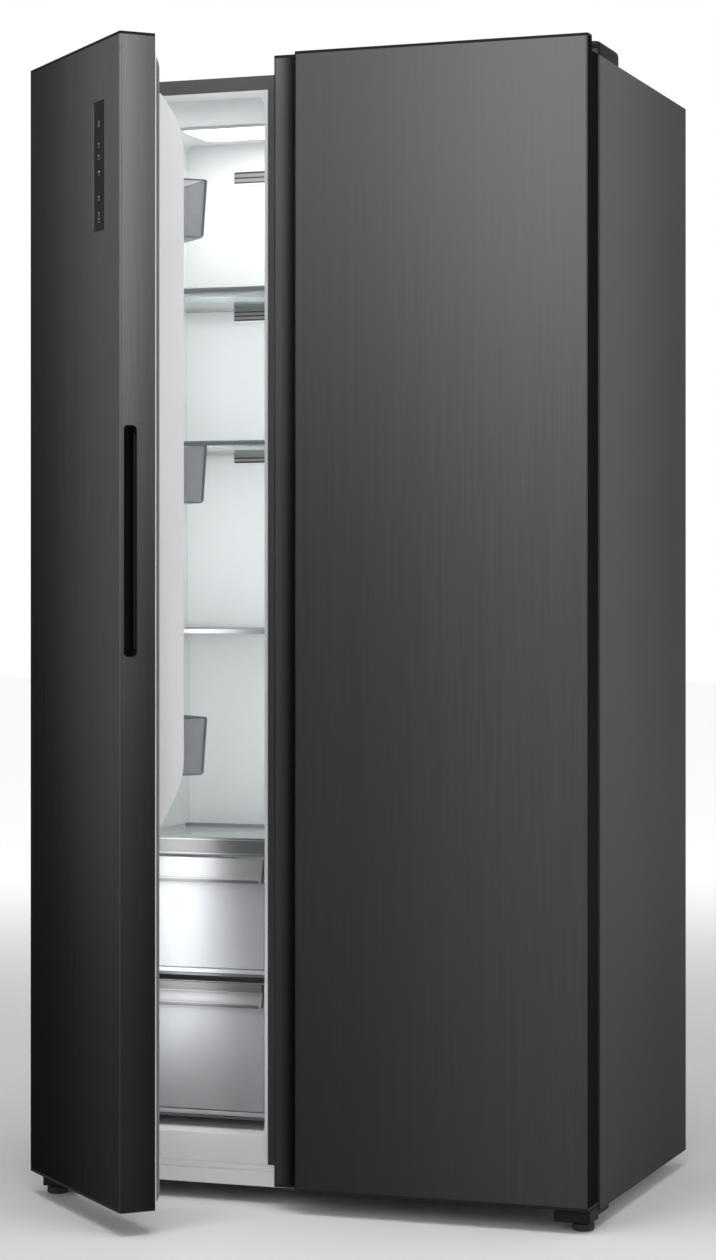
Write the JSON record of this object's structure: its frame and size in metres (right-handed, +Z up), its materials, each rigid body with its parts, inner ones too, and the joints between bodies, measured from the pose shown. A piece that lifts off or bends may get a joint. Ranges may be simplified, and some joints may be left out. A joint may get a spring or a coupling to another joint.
{
  "type": "side by side refrigerator",
  "caption": "Free-standing upright freezer and fridge side by side, dark brushed doors with side grip slots, freezer door ajar over glass shelves and pull-out drawers.",
  "frame": {"origin": "plan centre of the cabinet's underside, which stands 26 mm above the floor on its feet and rollers", "axes": "+Z up, doors face -Y, +X to the right of someone who faces the doors, metres"},
  "size_m": [0.9236, 0.8725, 1.7865],
  "materials": {
    "dark_steel": "vertically brushed dark stainless steel, clear coated",
    "painted_case": "satin dark grey paint",
    "white_plastic": "moulded white ABS, semi-gloss",
    "foam": "rigid polyurethane foam",
    "galvanised": "galvanised sheet steel",
    "black_plastic": "moulded black plastic, fine grain",
    "gasket_grey": "soft grey PVC",
    "clear_glass": "tempered clear glass",
    "clear_plastic": "clear polystyrene, faint grey",
    "drawer_plastic": "translucent frosted plastic",
    "silver_plastic": "satin silver coated plastic",
    "aluminium": "mill finish",
    "lamp_lens": "opal lens",
    "panel_glass": "smoked panel",
    "compressor_black": "gloss black enamel"
  },
  "bodies": {
    "cabinet": {"outer_case": "painted_case", "back_panel": "galvanised", "base_plate": "galvanised", "insulation_foam": "foam", "freezer_liner": "white_plastic", "fridge_liner": "white_plastic", "center_rail": "painted_case", "lower_front_panel": "white_plastic", "freezer_back_cover": "white_plastic", "fridge_air_duct": "white_plastic", "evaporator": "aluminium", "freezer_shelf_1": "clear_glass", "freezer_shelf_2": "clear_glass", "freezer_shelf_3": "clear_glass", "freezer_drawer_cover": "clear_glass", "fridge_shelf_1": "clear_glass", "fridge_shelf_2": "clear_glass", "crisper_cover": "clear_glass", "freezer_light": "lamp_lens", "fridge_light": "lamp_lens", "compressor": "compressor_black", "drip_tray": "black_plastic", "machine_cover": "black_plastic", "cord_gland": "black_plastic", "freezer_top_hinge": "galvanised", "fridge_top_hinge": "galvanised", "freezer_hinge_cover": "black_plastic", "fridge_hinge_cover": "black_plastic", "freezer_bottom_hinge": "black_plastic", "fridge_bottom_hinge": "black_plastic"},
    "freezer_door": {"freezer_door_skin": "dark_steel", "freezer_door_foam": "foam", "freezer_handle": "black_plastic", "freezer_door_top_cap": "black_plastic", "freezer_door_bottom_cap": "black_plastic", "freezer_door_liner": "white_plastic", "freezer_door_gasket": "gasket_grey", "freezer_bin_1": "clear_plastic", "freezer_bin_2": "clear_plastic", "freezer_bin_3": "clear_plastic", "control_panel": "panel_glass"},
    "fridge_door": {"fridge_door_skin": "dark_steel", "fridge_door_foam": "foam", "fridge_handle": "black_plastic", "fridge_door_top_cap": "black_plastic", "fridge_door_bottom_cap": "black_plastic", "fridge_door_liner": "white_plastic", "fridge_door_gasket": "gasket_grey", "fridge_bin_1": "clear_plastic", "fridge_bin_2": "clear_plastic", "fridge_bin_3": "clear_plastic"},
    "upper_drawer": {"freezer_drawer_upper": "drawer_plastic", "freezer_drawer_upper_handle": "silver_plastic"},
    "lower_drawer": {"freezer_drawer_lower": "drawer_plastic", "freezer_drawer_lower_handle": "silver_plastic"},
    "crisper": {"crisper_drawer": "drawer_plastic"},
    "fan": {"evaporator_fan": "black_plastic"},
    "left_foot": {"freezer_foot": "black_plastic"},
    "right_foot": {"fridge_foot": "black_plastic"},
    "rollers": {"rear_rollers": "black_plastic"}
  },
  "joints": [
    {"name": "freezer_door_hinge", "type": "hinge", "parent": "cabinet", "child": "freezer_door", "pos_m": [-0.433, -0.2975, 0.9], "axis": [0, 0, -1], "range_deg": [-44.4, 65.6]},
    {"name": "fridge_door_hinge", "type": "hinge", "parent": "cabinet", "child": "fridge_door", "pos_m": [0.433, -0.2975, 0.9], "axis": [0, 0, 1], "range_deg": [0, 110]},
    {"name": "upper_drawer_slide", "type": "slide", "parent": "cabinet", "child": "upper_drawer", "axis": [0, -1, 0], "range_m": [0, 0.04]},
    {"name": "lower_drawer_slide", "type": "slide", "parent": "cabinet", "child": "lower_drawer", "axis": [0, -1, 0], "range_m": [0, 0.04]},
    {"name": "crisper_slide", "type": "slide", "parent": "cabinet", "child": "crisper", "axis": [0, -1, 0], "range_m": [0, 0.1]},
    {"name": "fan_spin", "type": "hinge", "parent": "cabinet", "child": "fan", "pos_m": [-0.24865, 0.186, 1.29], "axis": [0, 1, 0], "continuous": true},
    {"name": "left_foot_turn", "type": "hinge", "parent": "cabinet", "child": "left_foot", "pos_m": [-0.433, -0.2975, -0.014], "axis": [0, 0, 1], "continuous": true},
    {"name": "right_foot_turn", "type": "hinge", "parent": "cabinet", "child": "right_foot", "pos_m": [0.433, -0.2975, -0.014], "axis": [0, 0, 1], "continuous": true},
    {"name": "roller_turn", "type": "hinge", "parent": "cabinet", "child": "rollers", "pos_m": [0, 0.2, -0.008], "axis": [1, 0, 0], "continuous": true}
  ],
  "couplings": [
    {"joint": "crisper_slide", "follows": "fridge_door_hinge", "m_per_rad": 0.05}
  ]
}
